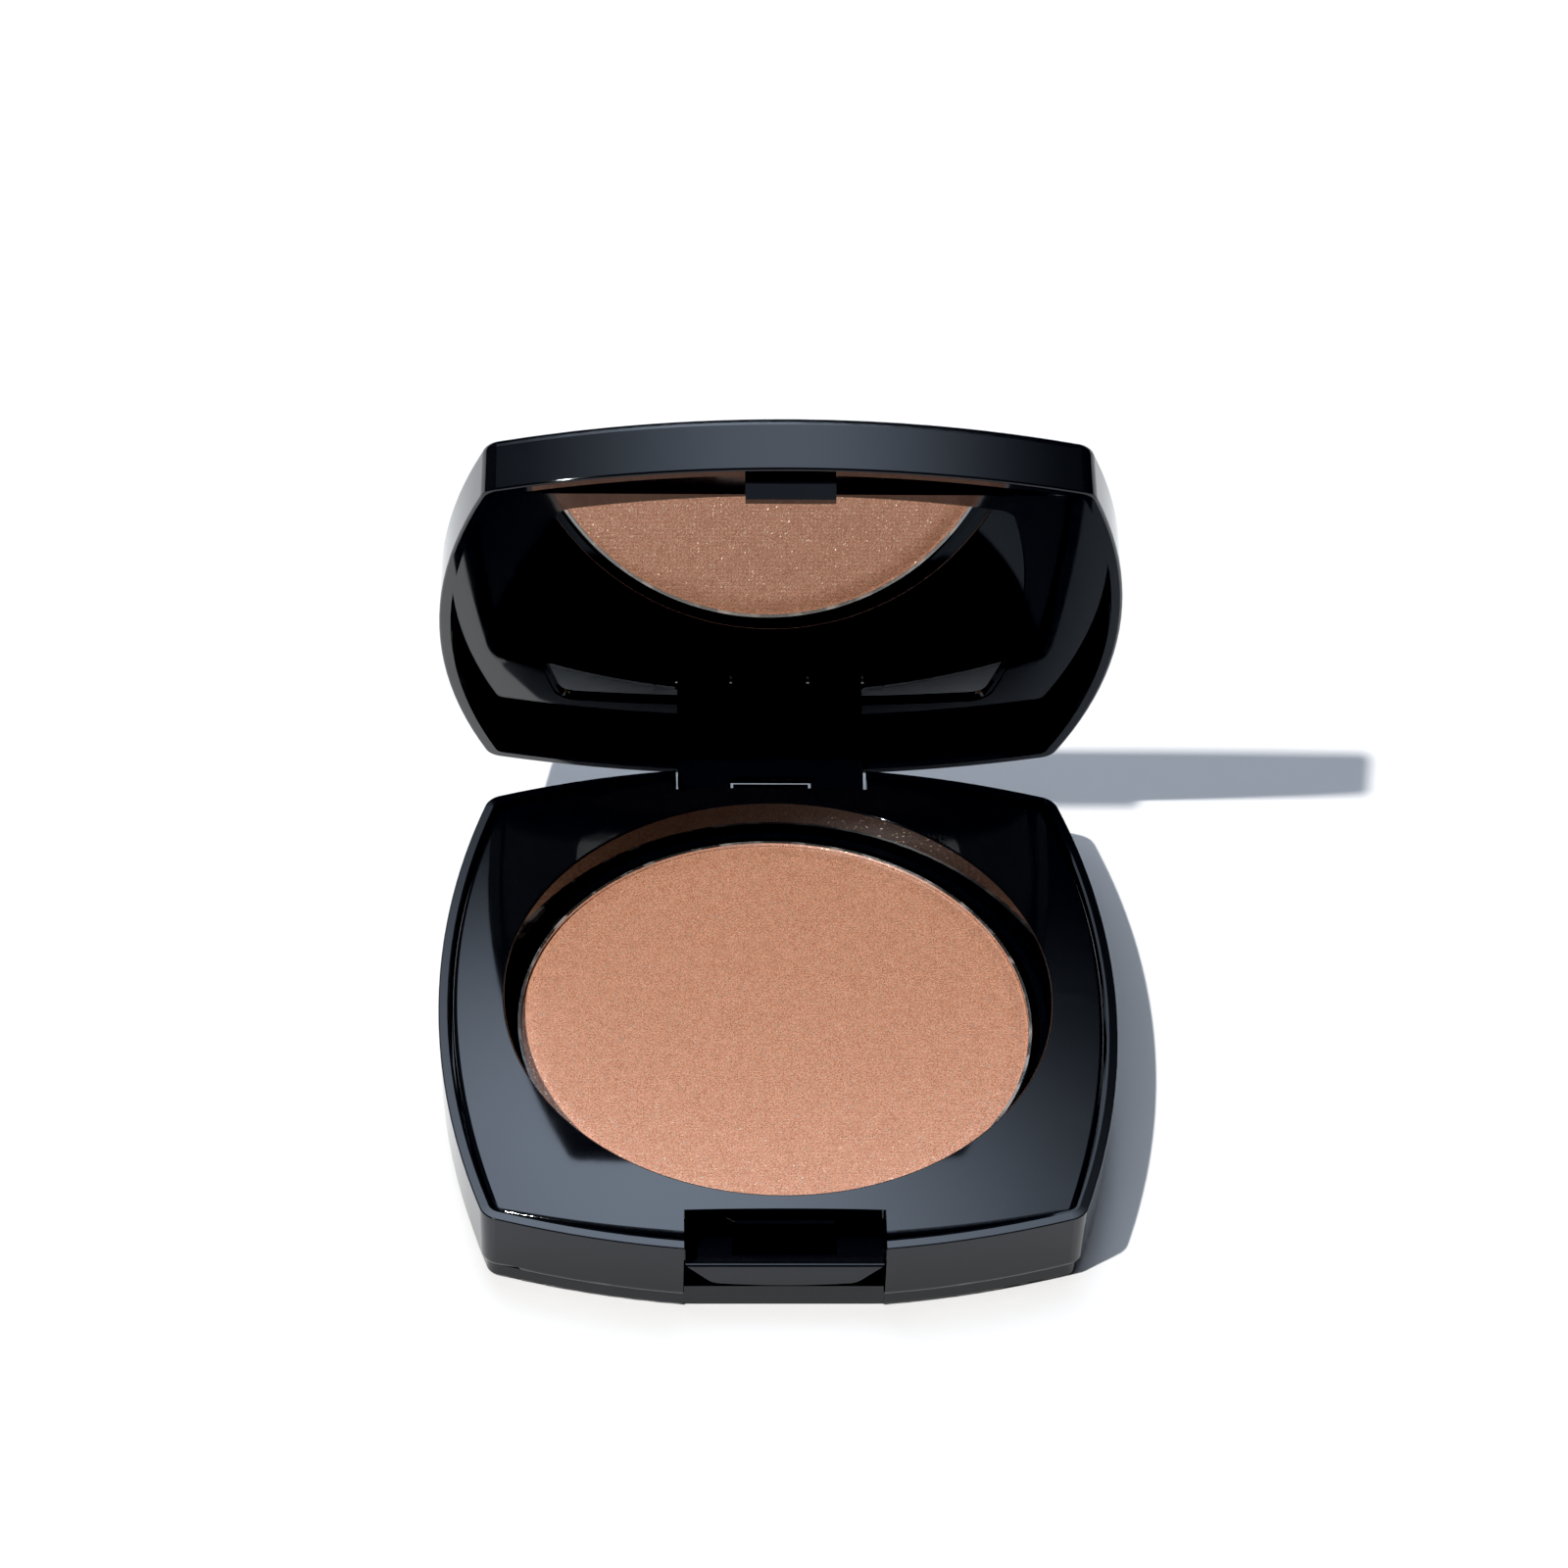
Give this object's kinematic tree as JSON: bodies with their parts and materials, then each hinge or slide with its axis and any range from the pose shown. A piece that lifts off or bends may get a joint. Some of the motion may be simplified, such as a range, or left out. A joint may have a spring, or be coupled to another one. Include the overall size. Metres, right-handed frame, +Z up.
{
  "type": "powder compact",
  "caption": "Bowed square powder compact with a hinged mirror lid, a push latch and a round pan of pressed shimmer powder in a crowned inner tray.",
  "frame": {"origin": "centre of the underside, on the table", "axes": "+X to the right, -Y towards the user (latch side), +Z up; the hinge is at +Y"},
  "size_m": [0.0776, 0.085, 0.0812],
  "materials": {
    "base_shell": "high gloss",
    "bottom_plate": "satin gloss",
    "base_label": "matt film",
    "inner_tray": "high gloss",
    "powder_pan": "pressed sheet",
    "powder_cake": "pressed powder with fine shimmer",
    "pan_sticker": "adhesive film",
    "latch_button": "high gloss",
    "latch_spring": "rolled strip",
    "hinge_pin": "drawn wire",
    "lid_shell": "high gloss",
    "mirror_frame": "high gloss",
    "mirror": "silvered glass",
    "mirror_tape_front": "adhesive foam",
    "mirror_tape_back": "adhesive foam"
  },
  "bodies": {
    "base": {"base_shell": "base_shell", "bottom_plate": "bottom_plate", "base_label": "base_label", "inner_tray": "inner_tray", "powder_pan": "powder_pan", "powder_cake": "powder_cake", "pan_sticker": "pan_sticker", "latch_spring": "latch_spring", "hinge_pin": "hinge_pin"},
    "lid": {"lid_shell": "lid_shell", "mirror_frame": "mirror_frame", "mirror": "mirror", "mirror_tape_front": "mirror_tape_front", "mirror_tape_back": "mirror_tape_back"},
    "button": {"latch_button": "latch_button"}
  },
  "joints": [
    {"name": "lid_hinge", "type": "hinge", "parent": "base", "child": "lid", "pos_m": [0, 0.0369, 0.0074], "axis": [-1, 0, 0], "range_deg": [-69, 21]},
    {"name": "latch_button_push", "type": "slide", "parent": "base", "child": "button", "axis": [0, 1, 0], "range_m": [0, 0.0006], "stiffness_N_per_m": 1500, "springref_m": -0.0006, "deforming": ["latch_spring"]}
  ]
}
